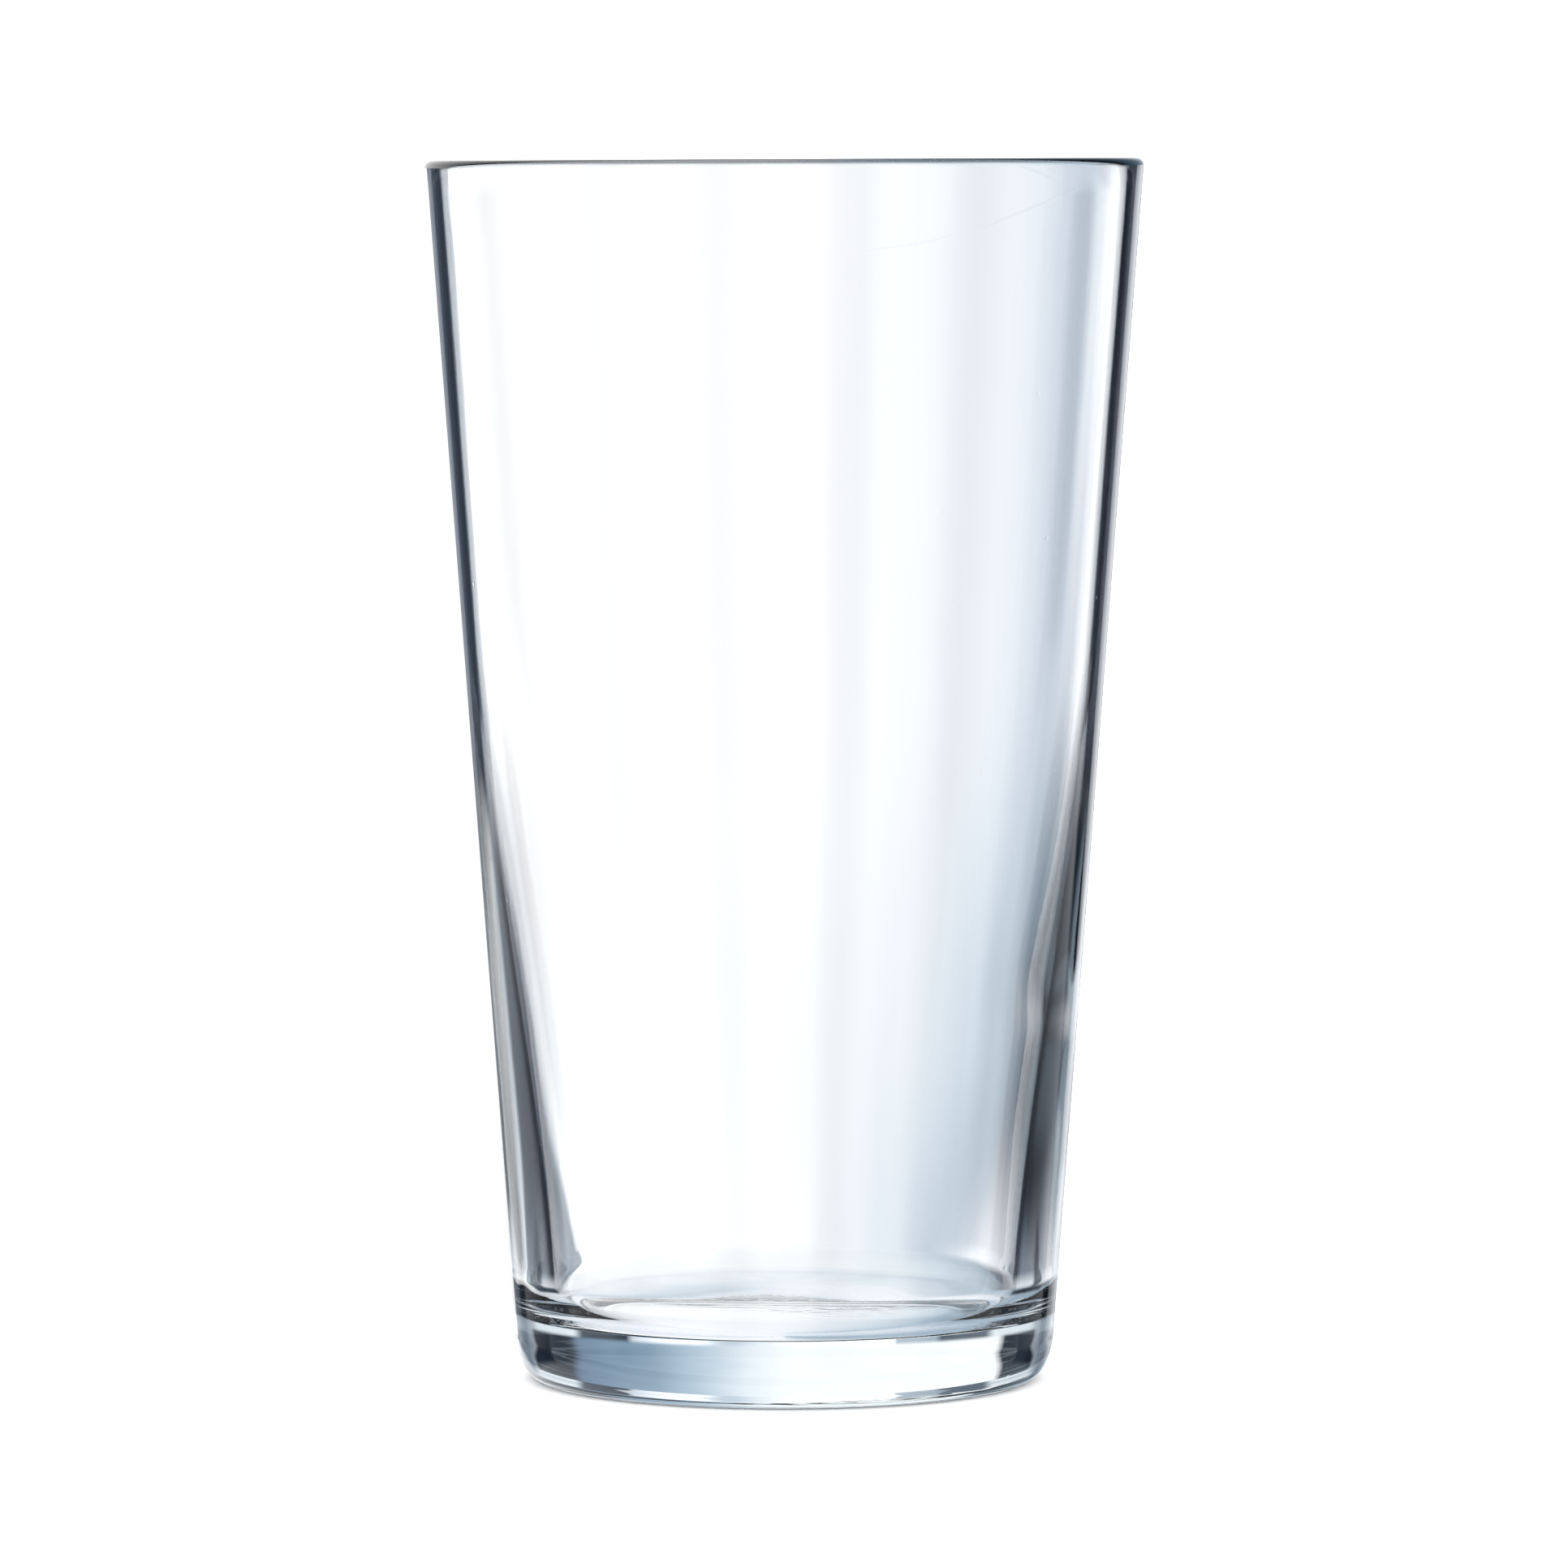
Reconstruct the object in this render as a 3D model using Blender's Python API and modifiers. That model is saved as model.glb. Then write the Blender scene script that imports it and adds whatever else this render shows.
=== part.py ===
"""A conical pint glass, one piece of pressed and blown glass with a heavy base.

Metres, +Z up. The glass stands on the plane z = 0 with its axis on the Z axis.
"""

import math

import bmesh
import bpy

# Driving dimensions, in metres.
HEIGHT = 0.150
RIM_RADIUS = 0.0440  # to the outside of the rim
TAPER = math.radians(4.30)  # lean of the outer wall from the vertical

RIM_BEAD = 0.00108  # radius of the fire-polished rim
NECK_BOTTOM = 0.1463  # height where the wall starts to swell into the rim
WALL_TOP = 0.0019
WALL_BASE = 0.0053  # the wall where it meets the floor
THICKENING_TOP = 0.092  # height where the wall starts to thicken on the way down

FLOOR_HEIGHT = 0.0080  # inside floor at its corner
FLOOR_DISH = 0.0004  # how much lower the floor is at its centre
CORNER_WIDTH = 0.0033  # rounding between the floor and the wall
CORNER_HEIGHT = 0.0055

HEEL_HEIGHT = 0.0065  # rounding from the outer wall to the foot
HEEL_WIDTH = 0.0034
FOOT_RING_WIDTH = 0.0032  # flat ring that the glass stands on
PUNT_WIDTH = 0.0060  # slope from the ring to the recess
PUNT_DEPTH = 0.0006

# How finely the curves are divided.
STEPS_AROUND = 72
BEAD_STEPS = 8
HEEL_STEPS = 7
WALL_STEPS = 9
NECK_STEPS = 3
CORNER_STEPS = 6
FLOOR_STEPS = 3
PUNT_STEPS = 3

GLASS_COLOUR = (0.86, 0.93, 0.95, 1.0)
GLASS_IOR = 1.52


def clear_scene():
    for obj in list(bpy.data.objects):
        bpy.data.objects.remove(obj, do_unlink=True)


def ease(share):
    """A smooth rise from 0 to 1, flat outside that range."""
    return 0.5 - 0.5 * math.cos(math.pi * min(max(share, 0.0), 1.0))


def outer_radius(z):
    """The outer wall, a straight cone."""
    return RIM_RADIUS - (HEIGHT - RIM_BEAD - z) * math.tan(TAPER)


def wall_thickness(z):
    """Even in the upper half, thick at the floor, and a little thicker at the rim."""
    low = (THICKENING_TOP - z) / (THICKENING_TOP - FLOOR_HEIGHT - CORNER_HEIGHT)
    high = (z - NECK_BOTTOM) / (HEIGHT - RIM_BEAD - NECK_BOTTOM)
    thickening = (WALL_BASE - WALL_TOP) * ease(low)
    swelling = (2 * RIM_BEAD - WALL_TOP) * ease(high)
    return WALL_TOP + thickening + swelling


def inner_radius(z):
    return outer_radius(z) - wall_thickness(z)


def arc(centre_x, centre_z, width, height, start, end, steps):
    """Points of an elliptical arc, with both ends."""
    points = []
    for step in range(steps + 1):
        angle = math.radians(start + (end - start) * step / steps)
        points.append((centre_x + width * math.cos(angle), centre_z + height * math.sin(angle)))
    return points


def foot_outline():
    """The heel, the flat ring and the shallow recess, from the outer wall to the axis."""
    # The heel leaves the wall where its ellipse leans as the wall does.
    start = math.atan(HEEL_HEIGHT / HEEL_WIDTH * math.tan(TAPER))
    start_z = HEEL_HEIGHT * (1 - math.sin(start))
    heel_x = outer_radius(start_z) - HEEL_WIDTH * math.cos(start)
    points = arc(
        heel_x, HEEL_HEIGHT, HEEL_WIDTH, HEEL_HEIGHT, -math.degrees(start), -90, HEEL_STEPS
    )
    ring_x = heel_x - FOOT_RING_WIDTH
    for step in range(PUNT_STEPS + 1):
        share = step / PUNT_STEPS
        points.append((ring_x - PUNT_WIDTH * share, PUNT_DEPTH * ease(share)))
    points.append((0.0, PUNT_DEPTH))
    return points


def inner_wall(start, end, steps):
    """Points up the inner wall, without the start and with the end."""
    points = []
    for step in range(1, steps + 1):
        z = start + (end - start) * step / steps
        points.append((inner_radius(z), z))
    return points


def cavity_outline():
    """The inside of the glass, from the centre of the floor up to the rim."""
    corner_z = FLOOR_HEIGHT + CORNER_HEIGHT
    corner_x = inner_radius(corner_z) - CORNER_WIDTH
    points = []
    for step in range(FLOOR_STEPS):
        share = step / FLOOR_STEPS
        points.append((corner_x * share, FLOOR_HEIGHT - FLOOR_DISH * (1 - share**2)))
    points += arc(corner_x, corner_z, CORNER_WIDTH, CORNER_HEIGHT, -90, 0, CORNER_STEPS)
    points += inner_wall(corner_z, THICKENING_TOP, WALL_STEPS)
    points.append((inner_radius(NECK_BOTTOM), NECK_BOTTOM))
    points += inner_wall(NECK_BOTTOM, HEIGHT - RIM_BEAD, NECK_STEPS)
    return points


def glass_outline():
    """The whole section, down the outside, across the foot and up the inside."""
    bead_x = RIM_RADIUS - RIM_BEAD
    bead_z = HEIGHT - RIM_BEAD
    bead = arc(bead_x, bead_z, RIM_BEAD, RIM_BEAD, 180, 0, BEAD_STEPS)
    return bead + foot_outline() + cavity_outline()


def profile_mesh(name, points):
    """A closed or open chain of edges in the XZ plane."""
    mesh = bpy.data.meshes.new(name)
    edges = [(index, index + 1) for index in range(len(points) - 1)]
    mesh.from_pydata([(x, 0.0, z) for x, z in points], edges, [])
    return mesh


def clear_glass():
    material = bpy.data.materials.new("clear_glass")
    material.use_nodes = True
    shader = material.node_tree.nodes["Principled BSDF"]
    shader.inputs["Base Color"].default_value = GLASS_COLOUR
    shader.inputs["Roughness"].default_value = 0.02
    shader.inputs["IOR"].default_value = GLASS_IOR
    shader.inputs["Transmission Weight"].default_value = 1.0
    return material


def glass_body(collection):
    """Turns the outline once round the axis and keeps the result as a mesh."""
    profile = profile_mesh("glass_profile", glass_outline())
    body = bpy.data.objects.new("glass_body", profile)
    collection.objects.link(body)

    turn = body.modifiers.new("turn", "SCREW")
    turn.axis = "Z"
    turn.steps = STEPS_AROUND
    turn.render_steps = STEPS_AROUND
    turn.use_merge_vertices = True
    turn.merge_threshold = 0.00001

    graph = bpy.context.evaluated_depsgraph_get()
    turned = bpy.data.meshes.new_from_object(body.evaluated_get(graph))
    body.modifiers.clear()
    body.data = turned
    turned.name = "glass_body"
    bpy.data.meshes.remove(profile)

    shell = bmesh.new()
    shell.from_mesh(turned)
    bmesh.ops.remove_doubles(shell, verts=shell.verts, dist=0.00001)
    bmesh.ops.recalc_face_normals(shell, faces=shell.faces)
    shell.to_mesh(turned)
    shell.free()

    turned.shade_smooth()
    turned.set_sharp_from_angle(angle=math.radians(40))
    turned.materials.append(clear_glass())
    return body


def main():
    clear_scene()
    collection = bpy.data.collections.new("pint_glass")
    bpy.context.scene.collection.children.link(collection)
    glass_body(collection)


main()
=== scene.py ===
"""The looks of a conical pint glass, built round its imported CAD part. Metres, +Z up."""

import math

import bpy
import numpy as np
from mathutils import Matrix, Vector


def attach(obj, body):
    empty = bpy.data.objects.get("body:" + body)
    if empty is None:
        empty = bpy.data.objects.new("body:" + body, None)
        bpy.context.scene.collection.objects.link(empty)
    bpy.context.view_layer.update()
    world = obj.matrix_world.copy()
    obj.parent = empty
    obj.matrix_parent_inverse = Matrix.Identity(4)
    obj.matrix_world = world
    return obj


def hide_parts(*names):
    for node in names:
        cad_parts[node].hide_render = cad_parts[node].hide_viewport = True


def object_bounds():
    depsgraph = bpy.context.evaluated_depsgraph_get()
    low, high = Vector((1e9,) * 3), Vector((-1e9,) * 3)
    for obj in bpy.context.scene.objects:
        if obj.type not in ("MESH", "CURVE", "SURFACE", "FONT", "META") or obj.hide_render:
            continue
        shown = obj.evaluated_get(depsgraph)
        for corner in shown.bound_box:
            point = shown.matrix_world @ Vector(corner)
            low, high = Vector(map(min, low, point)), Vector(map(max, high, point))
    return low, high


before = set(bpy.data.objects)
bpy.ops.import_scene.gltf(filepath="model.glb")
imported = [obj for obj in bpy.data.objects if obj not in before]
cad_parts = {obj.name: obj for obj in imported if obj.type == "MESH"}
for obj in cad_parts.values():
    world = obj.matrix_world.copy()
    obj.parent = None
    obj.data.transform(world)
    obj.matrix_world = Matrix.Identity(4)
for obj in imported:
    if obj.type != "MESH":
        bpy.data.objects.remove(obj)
cad_low, cad_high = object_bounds()

# The glass, in metres.
HEIGHT = cad_high.z
RIM_RADIUS = cad_high.x
TAPER = math.radians(4.30)  # lean of the outer wall from the vertical
WALL_TOP = 0.0019
RIM_BEAD = WALL_TOP / 2  # radius of the fire-polished rim
WALL_BASE = 0.0053
THICKENING_TOP = 0.092  # where the wall starts to thicken on the way down
FLOOR_HEIGHT = 0.0080
FLOOR_DISH = 0.0004
CORNER_WIDTH = 0.0033  # rounding between the inside floor and the wall
CORNER_HEIGHT = 0.0055
HEEL_WIDTH = 0.0034  # rounding from the outer wall to the foot
HEEL_HEIGHT = 0.0065
FOOT_RING_WIDTH = 0.0032
PUNT_WIDTH = 0.0060
PUNT_DEPTH = 0.0006

# How finely the curves are divided.
AROUND = 360  # vertices in each ring
BEAD_STEPS = 10
OUTER_WALL_STEPS = 50
HEEL_STEPS = 20
PUNT_STEPS = 10
RECESS_STEPS = 5
INSIDE_FLOOR_STEPS = 48
CORNER_STEPS = 20
THICK_WALL_STEPS = 64
THIN_WALL_STEPS = 40
TINY = 1e-6  # lengths below this count as nothing

# What the blowing and pressing left behind, in metres and radians.
RIM_DIP = 0.0004  # one side of the rim is this much lower
DIP_BOTTOM = 0.05  # height where the lean towards that side starts
WAVE_TOP = 0.00003  # unevenness of the inner wall near the rim
WAVE_BASE = 0.00016
WAVE_GROWTH_TOP = 0.105  # height where it starts to grow on the way down
WAVE_GROWTH_SPAN = 0.075
WAVES = [  # share, waves in a turn, phase at z = 0, phase gained in each metre of height
    (0.50, 2, 0.6, 34),
    (0.30, 3, -1.9, -60),
    (0.16, 5, 2.4, 95),
    (0.05, 17, 0.8, 20),
    (0.03, 31, -1.1, -28),
]
EVEN_ABOVE = 0.1463  # the wall runs true from here to the rim
EVEN_FADE = 0.008
EVEN_FLOOR_FADE = 0.006  # and it runs true at the inside floor
SAG_HEIGHT = 0.0455  # a band where the inner wall steps in and out on one side
SAG_DEPTH = 0.00013
SAG_STEP = 0.0035
SAG_SPAN = 0.012
SAG_ANGLE = -0.15
SAG_SPREAD = 0.6
RIPPLE_DEPTH = 0.000035  # rings on the inside floor
RIPPLE_LENGTH = 0.0032
RIPPLE_CENTRE = (0.008, 0.001)
RIPPLE_STRETCH = 1.15  # the rings are narrower along Y by this much
RIPPLE_REACH = 0.010
SWELL_SHARE = 0.7  # a long wave across the floor under the rings
SWELL_LENGTH = 0.021
SWELL_LEAN = 0.8
RIPPLE_LIMIT = 0.0235  # the ripples die out towards this radius
RIPPLE_FADE = 0.006

# The glass. Facing is 0 where a surface looks at the viewer and 1 where it is edge-on. The tints
# below are painted shade, dark edges and lines laid into the glass's colour and reflections.
GLASS_IOR = 1.52
VOLUME_COLOUR = (0.80, 0.93, 0.96, 1)
VOLUME_DENSITY = 6.0
CLEAR = (1, 1, 1, 1)
OUTSIDE_SKIN = (0.0009, 0.0003)  # depths between which the inner surfaces pass into the outer
EDGE_PAINTED_SHADE = (0.014, 0.017, 0.023, 1)  # painted shade on the edges of the upper wall, and on the lip
EDGE_FACING = (0.695, 0.72)
UPPER_WALL = (0.058, 0.076)  # heights where the lower wall passes into the upper
LIP_DEPTH = (0.0007, 0.0003)  # below the top of the rim
# How strong the painted shade on the lip is.
LIP_SHADE = 0.9
LIP_CORNER_DEPTH = (0.0013, 0.0009)
LIP_CORNER_FACING = (0.55, 0.68)
BAND_PAINTED_SHADE = (0.42, 0.45, 0.50, 1)  # painted shade: the dark line along the lower wall
BAND_EDGE_PAINTED_SHADE = (0.022, 0.025, 0.033, 1)  # its inner side, with darker painted shade
BAND_START = (-0.006, 0.005)  # facing past the edge of the inner wall
BAND_EDGE = (0.05, 0.015)  # the same, for its inner side
BAND_END = (0.72, 0.69)
BAND_BOTTOM = (0.0125, 0.0150)

# The fine relief of the surface, and the scuffs on the foot ring.
RELIEF_STRENGTH = 0.5
RELIEF_DEPTH = 0.00003
STREAK_SHARE = 0.25
STREAK_SCALE = 420
STREAK_STRETCH = (1, 1, 0.03)
STREAK_DETAIL = 3
SWAY_SCALE = 38
SWAY_STRETCH = (1, 1, 0.35)
SEED_SHARE = 0.35
SEED_SCALE = 130
SEED_SIZE = (0.0, 0.05)
SCUFF_HEIGHT = (0.00045, 0.00002)
SCUFF_SCALE = 900
SCUFF_DETAIL = 5
SCUFF_COVER = (0.40, 0.62)
SCUFF_ROUGHNESS = 0.35

# The camera.
CAMERA_DISTANCE = 1.1455
CAMERA_HEIGHT = 0.151
AIM_HEIGHT = 0.0732
FRAME_WIDTH = 0.1926  # what the camera sees across at the glass
SENSOR_WIDTH = 36  # millimetres
FARTHEST_SEEN = 100

# The ground and the sky.
GROUND_SIZE = 12
GROUND_DROP = 0.00005  # just under the foot
GROUND_COLOUR = (0.92, 0.92, 0.92, 1)
GROUND_ROUGHNESS = 0.9
SKY_LIGHT = 2.2
MOST_BOUNCES = 24

# The studio: tones by azimuth in degrees from straight behind the glass, right positive.
# A tone above 255 is brighter than white.
STUDIO_RADIUS = 30
STUDIO_LIGHT = 1.13
CARDS_REACH = 38  # how far to each side the cards behind the upper wall reach
LOW_CARDS_REACH = 60  # the same for the cards at table level and those seen through the base
CARDS_FADE = 2  # degrees to each side of where they end
SOFTBOXES = 8  # evenly spaced softboxes over the rest of the ring
SOFTBOX_TONE = (230, 235, 240)
GAP_TONE = (136, 146, 160)
GAP_TO_SOFTBOX = (-1.0, 0.2)  # on a wave that runs from -1 to 1 and back for each softbox
BEHIND = [
    (-25, (84, 94, 107)),
    (-23.8, (168, 180, 192)),
    (-16.8, (178, 187, 196)),
    (-15.6, (335, 335, 335)),
    (-11, (298, 298, 298)),
    (-6, (260, 260, 260)),
    (0, (252, 252, 252)),
    (2, (237, 240, 244)),
    (4, (223, 229, 236)),
    (6, (204, 213, 224)),
    (7.5, (187, 199, 211)),
    (9, (198, 208, 219)),
    (10.5, (232, 236, 243)),
    (12, (272, 273, 278)),
    (17, (264, 265, 270)),
    (21, (238, 241, 248)),
    (23.8, (214, 220, 230)),
    (25, (52, 60, 72)),
]
TABLE_LEVEL = [
    (-34, (22, 34, 48)),
    (-29, (38, 50, 64)),
    (-17.4, (50, 60, 74)),
    (-16.2, (200, 210, 218)),
    (-14, (262, 264, 266)),
    (-8, (255, 255, 255)),
    (-1, (245, 247, 248)),
    (2, (225, 231, 235)),
    (3.8, (207, 218, 226)),
    (6, (177, 193, 205)),
    (8.3, (152, 170, 183)),
    (10.5, (108, 124, 138)),
    (12.5, (34, 44, 56)),
    (14, (22, 30, 42)),
    (28, (18, 24, 34)),
    (32, (70, 88, 104)),
    (60, (110, 128, 146)),
]
THROUGH_BASE = [
    (-60, (34, 40, 50)),
    (-43, (34, 40, 50)),
    (-41.5, (253, 253, 253)),
    (-1, (250, 251, 251)),
    (6, (226, 232, 239)),
    (12, (182, 199, 213)),
    (20, (134, 156, 176)),
    (34, (104, 130, 154)),
    (38, (94, 118, 144)),
    (41, (32, 40, 50)),
    (60, (33, 40, 50)),
]
BELOW = [
    (-180, (232, 238, 244)),
    (-120, (245, 250, 253)),
    (-75, (240, 243, 250)),
    (-40, (222, 228, 235)),
    (-8, (242, 244, 248)),
    (0, (228, 233, 239)),
    (6, (186, 199, 210)),
    (12, (165, 184, 198)),
    (40, (156, 174, 190)),
    (80, (205, 215, 226)),
    (180, (232, 238, 244)),
]
TABLE_SQUEEZE = 0.4  # azimuths at table level count for this share less, so the cards spread

# Elevations in degrees between which one set of cards passes into the next.
TO_TABLE_LEVEL = (-5, -14)
TO_THROUGH_BASE = (0.0, 1.8)
TO_BELOW = (-17, -22)


def ease(share):
    share = np.clip(share, 0, 1)
    return 0.5 - 0.5 * np.cos(np.pi * share)


def outer_radius(z):
    return RIM_RADIUS - (HEIGHT - RIM_BEAD - z) * math.tan(TAPER)


def wall_thickness(z):
    low = (THICKENING_TOP - z) / (THICKENING_TOP - FLOOR_HEIGHT - CORNER_HEIGHT)
    return WALL_TOP + (WALL_BASE - WALL_TOP) * ease(low)


def inner_radius(z):
    return outer_radius(z) - wall_thickness(z)


def arc(centre_x, centre_z, width, height, start, end, steps):
    angle = np.radians(np.linspace(start, end, steps + 1))
    return np.stack([centre_x + width * np.cos(angle), centre_z + height * np.sin(angle)], 1)


def wall(radius_at, start, end, steps):
    z = np.linspace(start, end, steps + 1)
    return np.stack([radius_at(z), z], 1)


def outside():
    """The section from the top of the rim down the outside and across the foot to the axis."""
    bead_z = HEIGHT - RIM_BEAD
    start = math.atan(HEEL_HEIGHT / HEEL_WIDTH * math.tan(TAPER))
    start_z = HEEL_HEIGHT * (1 - math.sin(start))
    heel_x = outer_radius(start_z) - HEEL_WIDTH * math.cos(start)
    ring_x = heel_x - FOOT_RING_WIDTH
    recess_x = ring_x - PUNT_WIDTH
    heel_start = -math.degrees(start)
    share = np.linspace(0, 1, PUNT_STEPS + 1)
    inward = np.linspace(1, 0, RECESS_STEPS + 1)[1:]
    runs = [
        arc(RIM_RADIUS - RIM_BEAD, bead_z, RIM_BEAD, RIM_BEAD, 90, 0, BEAD_STEPS),
        wall(outer_radius, bead_z, start_z, OUTER_WALL_STEPS)[1:-1],
        arc(heel_x, HEEL_HEIGHT, HEEL_WIDTH, HEEL_HEIGHT, heel_start, -90, HEEL_STEPS),
        np.stack([ring_x - PUNT_WIDTH * share, PUNT_DEPTH * ease(share)], 1),
        np.stack([recess_x * inward, np.full(RECESS_STEPS, PUNT_DEPTH)], 1),
    ]
    return np.concatenate(runs)


def inside():
    """The section from the centre of the inside floor up to the top of the rim."""
    bead_z = HEIGHT - RIM_BEAD
    corner_z = FLOOR_HEIGHT + CORNER_HEIGHT
    corner_x = inner_radius(corner_z) - CORNER_WIDTH
    across = np.linspace(0, 1, INSIDE_FLOOR_STEPS + 1)
    floor_z = FLOOR_HEIGHT - FLOOR_DISH * (1 - across**2)
    runs = [
        np.stack([corner_x * across, floor_z], 1)[:-1],
        arc(corner_x, corner_z, CORNER_WIDTH, CORNER_HEIGHT, -90, 0, CORNER_STEPS),
        wall(inner_radius, corner_z, THICKENING_TOP, THICK_WALL_STEPS)[1:],
        wall(inner_radius, THICKENING_TOP, bead_z, THIN_WALL_STEPS)[1:-1],
        arc(RIM_RADIUS - RIM_BEAD, bead_z, RIM_BEAD, RIM_BEAD, 180, 90, BEAD_STEPS)[:-1],
    ]
    return np.concatenate(runs)


def bell(distance, width):
    return np.exp(-((distance / width) ** 2))


def inner_wall_unevenness(angle, z):
    """How far the inner wall stands in from its true cone."""
    growth = ease((WAVE_GROWTH_TOP - z) / WAVE_GROWTH_SPAN)
    size = WAVE_TOP + (WAVE_BASE - WAVE_TOP) * growth
    waves = sum(
        share * np.cos(count * angle + phase + twist * z) for share, count, phase, twist in WAVES
    )
    around = np.arctan2(np.sin(angle), np.cos(angle))
    step = np.tanh((z - SAG_HEIGHT) / SAG_STEP) * bell(z - SAG_HEIGHT, SAG_SPAN)
    sag = SAG_DEPTH * step * bell(around - SAG_ANGLE, SAG_SPREAD)
    fade = ease((z - FLOOR_HEIGHT) / EVEN_FLOOR_FADE) * ease((EVEN_ABOVE - z) / EVEN_FADE)
    return (size * waves + sag) * fade


def floor_ripples(x, y):
    reach = np.hypot(x - RIPPLE_CENTRE[0], (y - RIPPLE_CENTRE[1]) * RIPPLE_STRETCH)
    rings = np.cos(2 * np.pi * reach / RIPPLE_LENGTH) * bell(reach, RIPPLE_REACH)
    swell = SWELL_SHARE * np.cos(2 * np.pi * (x * SWELL_LEAN + y) / SWELL_LENGTH)
    fade = ease((RIPPLE_LIMIT - np.hypot(x, y)) / RIPPLE_FADE)
    return RIPPLE_DEPTH * (rings + swell) * fade


def glass_points():
    """Grid of points, one row for each point of the section, with the unevenness added."""
    outer = outside()
    inner = inside()
    section = np.concatenate([outer, inner])
    is_inner = np.arange(len(section)) >= len(outer)
    angle = np.linspace(0, 2 * np.pi, AROUND, endpoint=False)[None, :]
    radius = np.repeat(section[:, :1], AROUND, 1)
    z = np.repeat(section[:, 1:], AROUND, 1)
    on_floor = is_inner[:, None] & (z < FLOOR_HEIGHT + TINY)
    on_wall = is_inner[:, None] & ~on_floor
    radius = radius - np.where(on_wall, inner_wall_unevenness(angle, z), 0)
    x = radius * np.cos(angle)
    y = radius * np.sin(angle)
    z = z + np.where(on_floor, floor_ripples(x, y), 0)
    lean = ease((z - DIP_BOTTOM) / (HEIGHT - DIP_BOTTOM))
    drop = RIM_DIP * lean * (RIM_RADIUS - x) / (2 * RIM_RADIUS)
    return np.stack([x, y, z - drop], 2)


def joined_rings(rings):
    """Faces between each ring of vertex numbers and the next, the last with the first."""
    faces = []
    for upper, lower in zip(rings, rings[1:] + rings[:1]):
        for k in range(AROUND):
            n = (k + 1) % AROUND
            corners = [upper[k], lower[k], lower[n], upper[n]]
            unique = list(dict.fromkeys(corners))
            if len(unique) > 2:
                faces.append(unique)
    return faces


def turned(name, points):
    """A closed mesh from the grid. A row on the axis becomes one vertex."""
    vertices = []
    rings = []
    for row in points:
        first = len(vertices)
        if np.hypot(row[:, 0], row[:, 1]).max() < TINY:
            vertices.append(row.mean(0).tolist())
            rings.append([first] * AROUND)
        else:
            vertices += row.tolist()
            rings.append(list(range(first, first + AROUND)))
    mesh = bpy.data.meshes.new(name)
    mesh.from_pydata(vertices, [], joined_rings(rings))
    mesh.validate()
    mesh.shade_smooth()
    body = bpy.data.objects.new(name, mesh)
    bpy.context.scene.collection.objects.link(body)
    return body


class Graph:
    """Short calls for building a material's nodes."""

    def __init__(self, name):
        self.material = bpy.data.materials.new(name)
        self.material.use_nodes = True
        self.nodes = self.material.node_tree.nodes
        self.links = self.material.node_tree.links

    def add(self, kind, **settings):
        node = self.nodes.new("ShaderNode" + kind)
        for key, value in settings.items():
            setattr(node, key, value)
        return node

    def feed(self, socket, value):
        """Links another node's output to this input, or sets a plain value on it."""
        if isinstance(value, bpy.types.NodeSocket):
            self.links.new(value, socket)
        else:
            socket.default_value = value

    def math(self, operation, *values):
        node = self.add("Math", operation=operation)
        for socket, value in zip(node.inputs, values):
            self.feed(socket, value)
        return node.outputs[0]

    def product(self, first, *others):
        for other in others:
            first = self.math("MULTIPLY", first, other)
        return first

    def rise(self, value, start, end, low=0.0, high=1.0):
        """From low at start to high at end, with soft ends."""
        node = self.add("MapRange", interpolation_type="SMOOTHSTEP")
        self.feed(node.inputs["Value"], value)
        node.inputs["From Min"].default_value = start
        node.inputs["From Max"].default_value = end
        node.inputs["To Min"].default_value = low
        node.inputs["To Max"].default_value = high
        return node.outputs[0]

    def mix(self, share, first, second):
        node = self.add("Mix", data_type="RGBA")
        self.feed(node.inputs["Factor"], share)
        self.feed(node.inputs["A"], first)
        self.feed(node.inputs["B"], second)
        return node.outputs["Result"]

    def object_position(self):
        return self.add("TexCoord").outputs["Object"]

    def split(self, vector):
        node = self.add("SeparateXYZ")
        self.feed(node.inputs[0], vector)
        return node.outputs["X"], node.outputs["Y"], node.outputs["Z"]

    def noise(self, position, scale, stretch, detail=2.0):
        scaled = self.add("VectorMath", operation="MULTIPLY")
        self.feed(scaled.inputs[0], position)
        scaled.inputs[1].default_value = stretch
        node = self.add("TexNoise")
        self.feed(node.inputs["Vector"], scaled.outputs[0])
        node.inputs["Scale"].default_value = scale
        node.inputs["Detail"].default_value = detail
        return node.outputs["Fac"]


def edge_on(z):
    """How edge-on the outer wall is seen, from 0 to 1, in line with the inner wall's edge."""
    return 1 - math.sqrt(1 - (inner_radius(z) / outer_radius(z)) ** 2)


def on_outside(graph, x, y, height):
    """1 on the outer wall and 0 on the inner one."""
    flat = graph.add("CombineXYZ")
    graph.feed(flat.inputs["X"], x)
    graph.feed(flat.inputs["Y"], y)
    radius = graph.add("VectorMath", operation="LENGTH")
    graph.feed(radius.inputs[0], flat.outputs[0])
    cone = graph.math("MULTIPLY", height, math.tan(TAPER))
    reach = graph.math("SUBTRACT", radius.outputs["Value"], cone)
    skin_start, skin_end = OUTSIDE_SKIN
    return graph.rise(reach, outer_radius(0) - skin_start, outer_radius(0) - skin_end)


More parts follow.
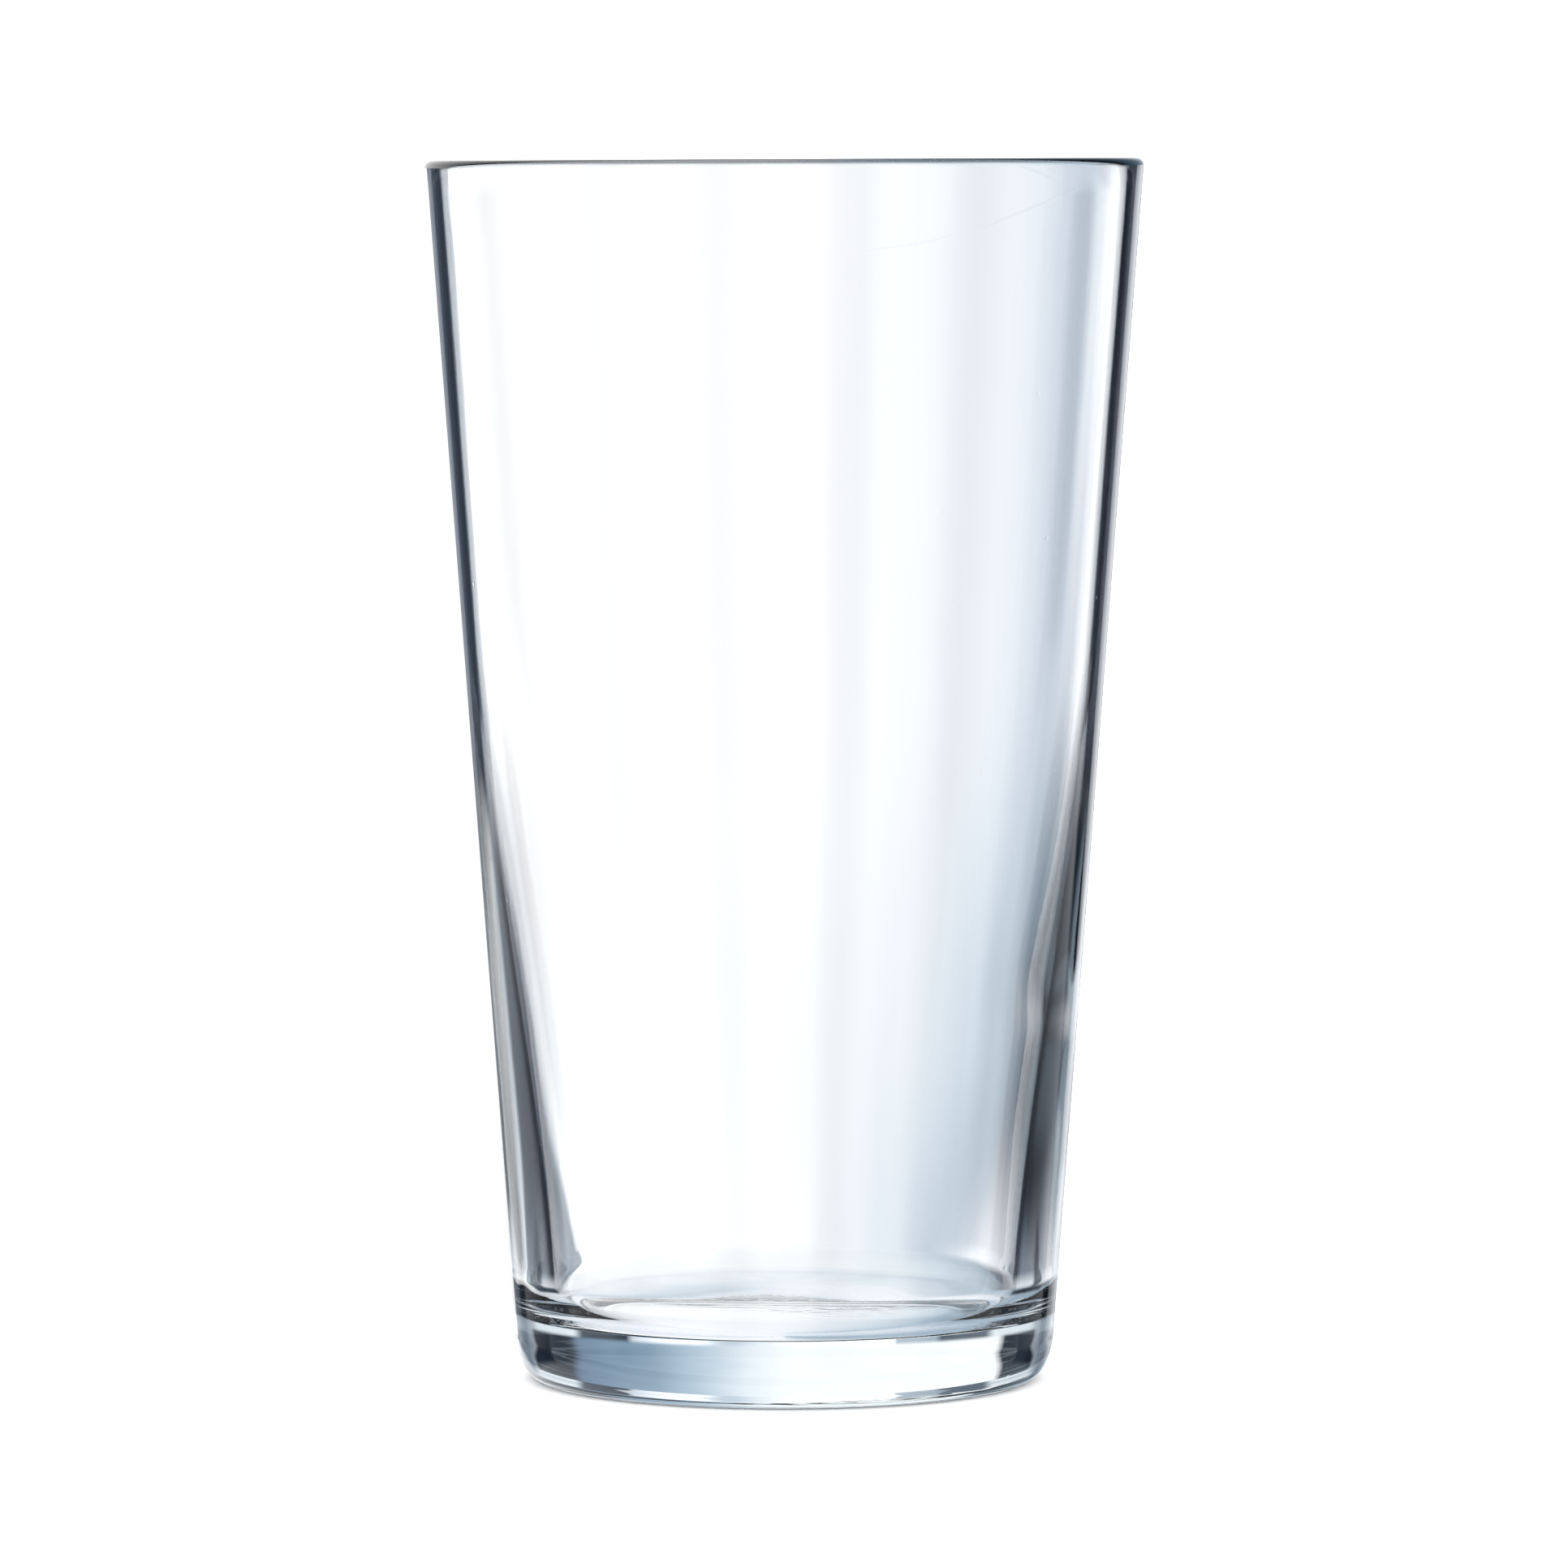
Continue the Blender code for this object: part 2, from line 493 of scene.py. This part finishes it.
def lip_shade(graph, x, height, facing):
    """The share of painted shade on the lip, and on its outer corner where that is seen edge-on.
    """
    dip = graph.math("MULTIPLY", x, RIM_DIP / (2 * RIM_RADIUS))
    level = graph.math("SUBTRACT", height, dip)
    top = HEIGHT - RIM_DIP / 2
    lip = graph.rise(level, top - LIP_DEPTH[0], top - LIP_DEPTH[1])
    lip = graph.product(lip, LIP_SHADE)
    corner = graph.rise(level, top - LIP_CORNER_DEPTH[0], top - LIP_CORNER_DEPTH[1])
    corner = graph.product(corner, graph.rise(facing, *LIP_CORNER_FACING))
    return lip, corner


def painted_band_shade(graph, height, facing, outside_only, upper):
    """The painted shade of the dark line on the lower wall: how strong it is and its colour.

    It is as wide as the wall is thick, with a clear strip outside it.
    """
    corner_z = FLOOR_HEIGHT + CORNER_HEIGHT
    limit = graph.rise(
        height, corner_z, THICKENING_TOP, edge_on(corner_z), edge_on(THICKENING_TOP)
    )
    past = graph.math("SUBTRACT", facing, limit)
    strength = graph.product(
        graph.rise(past, *BAND_START),
        graph.rise(facing, *BAND_END),
        graph.rise(height, *BAND_BOTTOM),
        outside_only,
        graph.rise(upper, 1.0, 0.0),
    )
    colour = graph.mix(graph.rise(past, *BAND_EDGE), BAND_PAINTED_SHADE, BAND_EDGE_PAINTED_SHADE)
    return strength, colour


def colour_with_painted_shade(graph):
    """The colour of the surface, with painted shade where the outside is seen edge-on."""
    x, y, height = graph.split(graph.object_position())
    facing = graph.add("LayerWeight").outputs["Facing"]
    outside_only = on_outside(graph, x, y, height)
    upper = graph.rise(height, *UPPER_WALL)
    # Painted shade on the edges of the upper wall, on the lip and on its outer corner.
    edge = graph.product(graph.rise(facing, *EDGE_FACING), upper, outside_only)
    lip, corner = lip_shade(graph, x, height, facing)
    dark = graph.math("MAXIMUM", graph.math("MAXIMUM", edge, lip), corner)
    # Painted shade along the lower wall.
    strength, colour = painted_band_shade(graph, height, facing, outside_only, upper)
    return graph.mix(strength, graph.mix(dark, CLEAR, EDGE_PAINTED_SHADE), colour)


def relief(graph):
    """Drawn streaks up the wall and small seeds in the surface."""
    position = graph.object_position()
    streaks = graph.noise(position, STREAK_SCALE, STREAK_STRETCH, STREAK_DETAIL)
    sway = graph.noise(position, SWAY_SCALE, SWAY_STRETCH)
    seeds = graph.add("TexVoronoi", feature="F1")
    graph.feed(seeds.inputs["Vector"], position)
    seeds.inputs["Scale"].default_value = SEED_SCALE
    pits = graph.rise(seeds.outputs["Distance"], *SEED_SIZE)
    height = graph.math("ADD", graph.product(streaks, STREAK_SHARE), sway)
    height = graph.math("ADD", height, graph.product(pits, SEED_SHARE))
    bump = graph.add("Bump")
    bump.inputs["Strength"].default_value = RELIEF_STRENGTH
    bump.inputs["Distance"].default_value = RELIEF_DEPTH
    graph.feed(bump.inputs["Height"], height)
    return bump.outputs[0]


def foot_scuffs(graph):
    """The roughness of the ring it stands on."""
    position = graph.object_position()
    height = graph.split(position)[2]
    grain = graph.noise(position, SCUFF_SCALE, (1, 1, 1), SCUFF_DETAIL)
    low = graph.rise(height, *SCUFF_HEIGHT)
    return graph.product(low, graph.rise(grain, *SCUFF_COVER), SCUFF_ROUGHNESS)


def glass_material():
    graph = Graph("clear_glass")
    shader = graph.nodes["Principled BSDF"]
    # The painted shade darkens both the light the glass lets through and what it reflects.
    colour = colour_with_painted_shade(graph)
    graph.feed(shader.inputs["Base Color"], colour)
    graph.feed(shader.inputs["Specular Tint"], colour)
    graph.feed(shader.inputs["Normal"], relief(graph))
    graph.feed(shader.inputs["Roughness"], foot_scuffs(graph))
    shader.inputs["IOR"].default_value = GLASS_IOR
    shader.inputs["Transmission Weight"].default_value = 1.0
    volume = graph.add("VolumeAbsorption")
    volume.inputs["Color"].default_value = VOLUME_COLOUR
    volume.inputs["Density"].default_value = VOLUME_DENSITY
    graph.feed(graph.nodes["Material Output"].inputs["Volume"], volume.outputs[0])
    return graph.material


def camera():
    data = bpy.data.cameras.new("camera")
    cam = bpy.data.objects.new("camera", data)
    bpy.context.scene.collection.objects.link(cam)
    target = Vector((0, 0, AIM_HEIGHT))
    cam.location = (0, -CAMERA_DISTANCE, CAMERA_HEIGHT)
    look = target - cam.location
    cam.rotation_euler = look.to_track_quat("-Z", "Y").to_euler()
    data.sensor_width = SENSOR_WIDTH
    data.lens = SENSOR_WIDTH * look.length / FRAME_WIDTH
    data.clip_end = FARTHEST_SEEN
    bpy.context.scene.camera = cam


def display_tone(tone):
    """Scene-linear colour of an sRGB tone given from 0 to 255."""
    linear = []
    for value in tone:
        share = value / 255
        linear.append(share / 12.92 if share <= 0.04045 else ((share + 0.055) / 1.055) ** 2.4)
    return (*linear, 1.0)


def tones(graph, azimuth, stops):
    """The colour for an azimuth in degrees, read between the stops."""
    node = graph.add("ValToRGB")
    graph.feed(node.inputs[0], graph.math("MULTIPLY_ADD", azimuth, 1 / 360, 0.5))
    elements = node.color_ramp.elements
    elements.remove(elements[1])
    for index, (degrees, tone) in enumerate(stops):
        place = (degrees + 180) / 360
        element = elements.new(place) if index else elements[0]
        element.position = place
        element.color = display_tone(tone)
    return node.outputs[0]


def softbox_ring(graph, azimuth):
    """Evenly spaced softboxes with greyer gaps between them."""
    wave = graph.math("COSINE", graph.math("MULTIPLY", azimuth, math.radians(SOFTBOXES)))
    share = graph.rise(wave, *GAP_TO_SOFTBOX)
    return graph.mix(share, display_tone(GAP_TONE), display_tone(SOFTBOX_TONE))


def studio_light(graph):
    """Light by direction: cards for the front view, and softboxes round the rest."""
    direction = graph.add("VectorMath", operation="NORMALIZE")
    graph.feed(direction.inputs[0], graph.object_position())
    x, y, z = graph.split(direction.outputs[0])
    elevation = graph.math("DEGREES", graph.math("ARCSINE", z))
    azimuth = graph.math("DEGREES", graph.math("ARCTAN2", x, y))
    drop = graph.rise(elevation, *TO_TABLE_LEVEL)
    squeeze = graph.math("SUBTRACT", 1.0, graph.math("MULTIPLY", drop, TABLE_SQUEEZE))
    squeezed = graph.math("MULTIPLY", azimuth, squeeze)

    ring = softbox_ring(graph, azimuth)
    aside = graph.math("ABSOLUTE", azimuth)
    past = graph.rise(aside, CARDS_REACH - CARDS_FADE, CARDS_REACH + CARDS_FADE)
    past_low = graph.rise(aside, LOW_CARDS_REACH - CARDS_FADE, LOW_CARDS_REACH + CARDS_FADE)
    behind = graph.mix(past, tones(graph, squeezed, BEHIND), ring)
    at_table = graph.mix(past_low, tones(graph, squeezed, TABLE_LEVEL), ring)
    through_base = graph.mix(past_low, tones(graph, azimuth, THROUGH_BASE), ring)

    light = graph.mix(drop, behind, at_table)
    light = graph.mix(graph.rise(elevation, *TO_THROUGH_BASE), light, through_base)
    return graph.mix(graph.rise(elevation, *TO_BELOW), light, tones(graph, azimuth, BELOW))


def studio_material():
    graph = Graph("studio")
    graph.nodes.remove(graph.nodes["Principled BSDF"])
    glow = graph.add("Emission")
    graph.feed(glow.inputs["Color"], studio_light(graph))
    glow.inputs["Strength"].default_value = STUDIO_LIGHT
    graph.feed(graph.nodes["Material Output"].inputs["Surface"], glow.outputs[0])
    return graph.material


def studio():
    """A far sphere round the glass: what it refracts and reflects."""
    bpy.ops.mesh.primitive_uv_sphere_add(radius=STUDIO_RADIUS, segments=64, ring_count=32)
    ball = bpy.context.object
    ball.name = "studio"
    ball.visible_camera = False
    ball.visible_diffuse = False
    ball.visible_shadow = False
    ball.data.materials.append(studio_material())


def ground():
    """A wide pale floor that the glass itself doesn't see, as its studio surrounds it."""
    bpy.ops.mesh.primitive_plane_add(size=GROUND_SIZE, location=(0, 0, -GROUND_DROP))
    plane = bpy.context.object
    plane.name = "floor"
    plane.visible_transmission = False
    plane.visible_glossy = False
    graph = Graph("floor")
    shader = graph.nodes["Principled BSDF"]
    shader.inputs["Base Color"].default_value = GROUND_COLOUR
    shader.inputs["Roughness"].default_value = GROUND_ROUGHNESS
    shader.inputs["Specular IOR Level"].default_value = 0.0
    plane.data.materials.append(graph.material)


def surroundings():
    world = bpy.data.worlds.new("world")
    world.use_nodes = True
    background = world.node_tree.nodes["Background"]
    background.inputs["Color"].default_value = (1, 1, 1, 1)
    background.inputs["Strength"].default_value = SKY_LIGHT
    scene = bpy.context.scene
    scene.world = world
    scene.view_settings.view_transform = "Standard"
    scene.cycles.max_bounces = MOST_BOUNCES
    scene.cycles.transmission_bounces = MOST_BOUNCES


glass = turned("glass", glass_points())
glass.data.materials.append(glass_material())
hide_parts("glass_body")
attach(glass, "root")
camera()
studio()
ground()
surroundings()
